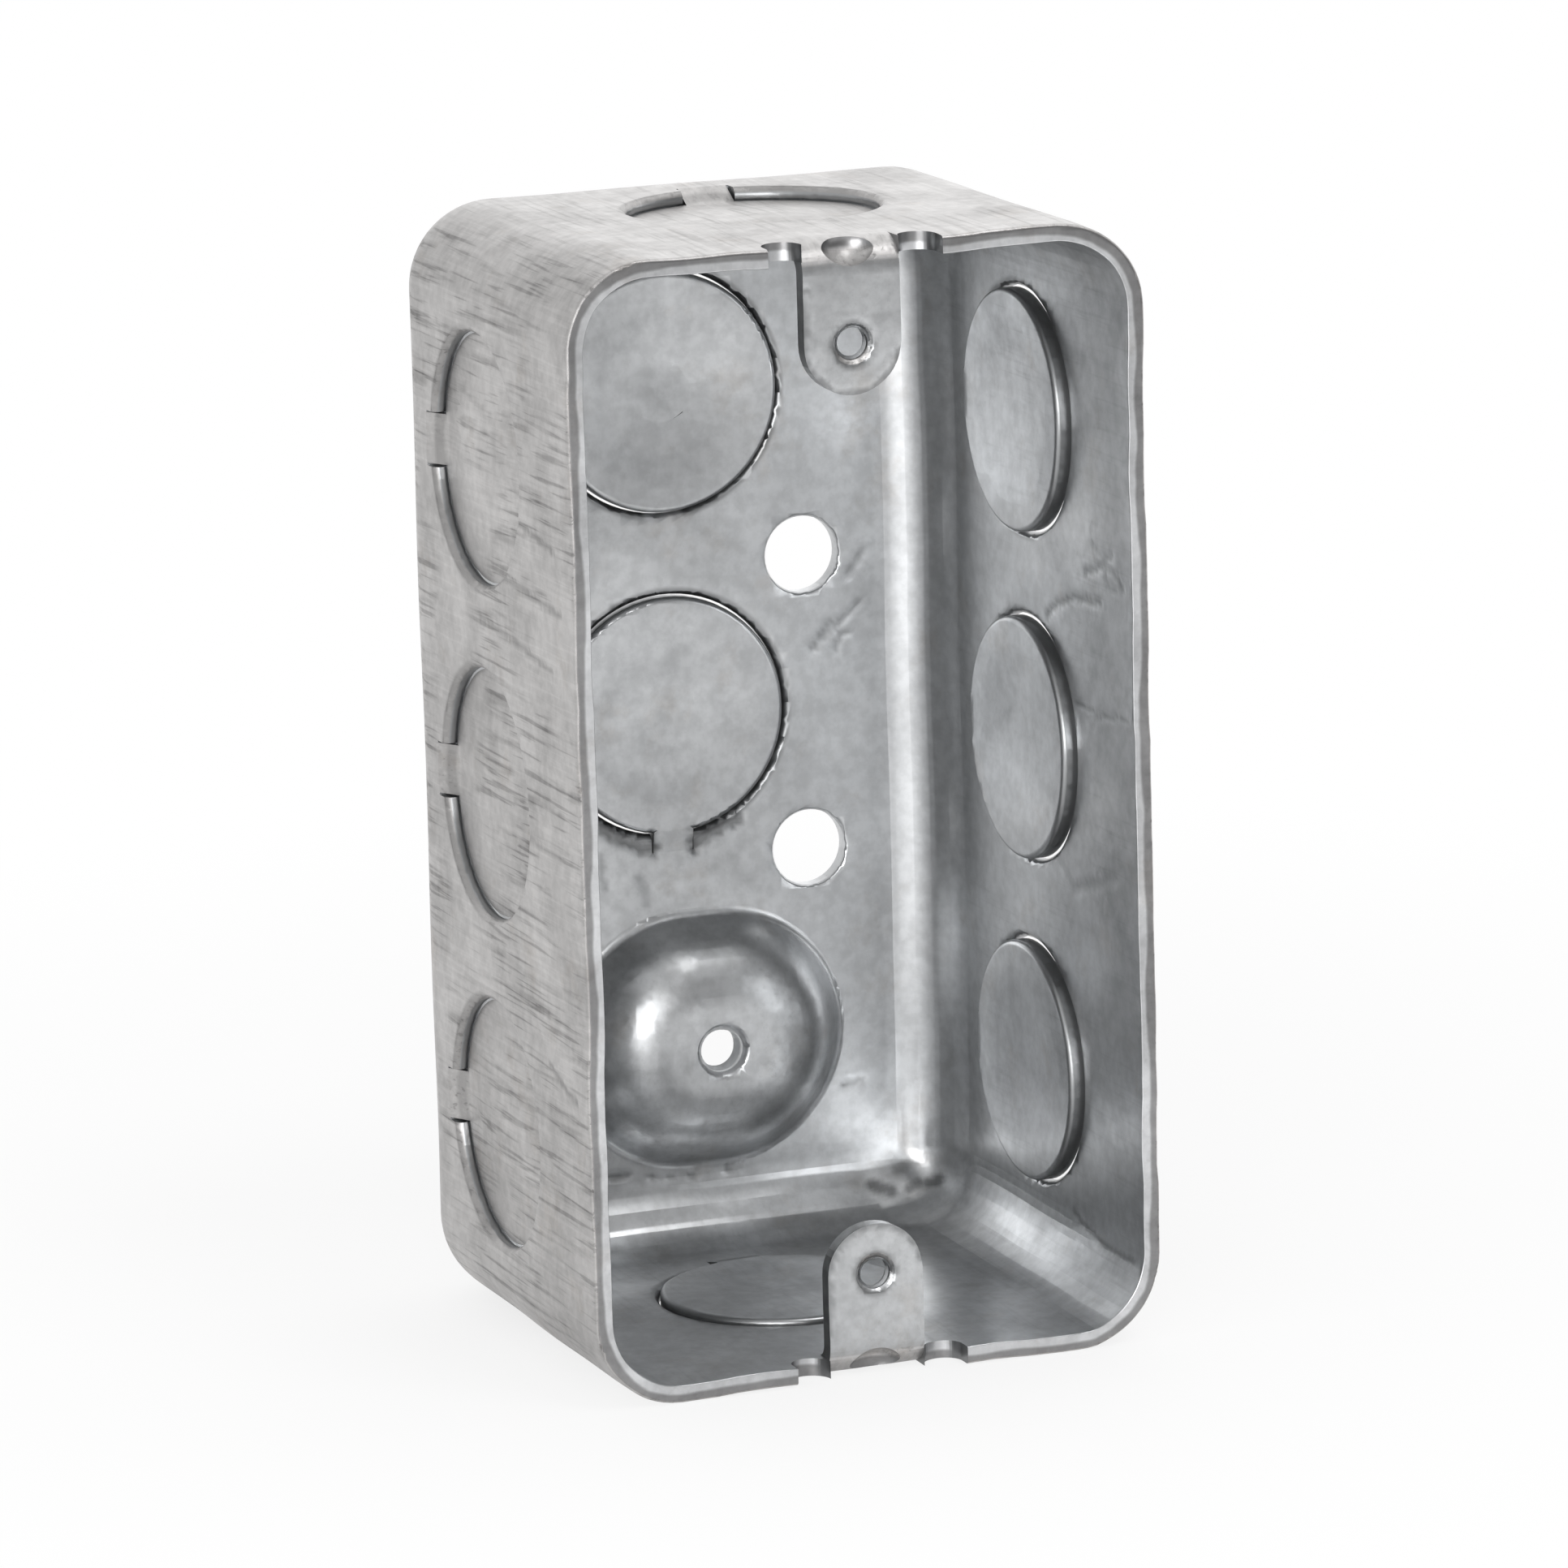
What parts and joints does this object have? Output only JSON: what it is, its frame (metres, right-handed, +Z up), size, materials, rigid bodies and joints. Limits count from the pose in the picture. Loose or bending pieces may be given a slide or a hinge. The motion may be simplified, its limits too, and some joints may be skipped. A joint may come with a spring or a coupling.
{
  "type": "handy box",
  "caption": "Narrow drawn-steel electrical box, open at the front, with knockouts in every wall, folded screw ears and a raised ground-screw dome.",
  "frame": {"origin": "middle of the lower end of the box's bounding box, which stands on that end", "axes": "+Z up the long side, +X across the opening to the right, -Y out of the open face, +Y out of the back"},
  "size_m": [0.054, 0.0476, 0.1016],
  "materials": {
    "galvanized_steel": "drawn galvanized sheet, satin grey with draw marks, stains and bright sheared edges"
  },
  "bodies": {
    "root": {"box_body": "galvanized_steel"}
  },
  "joints": []
}
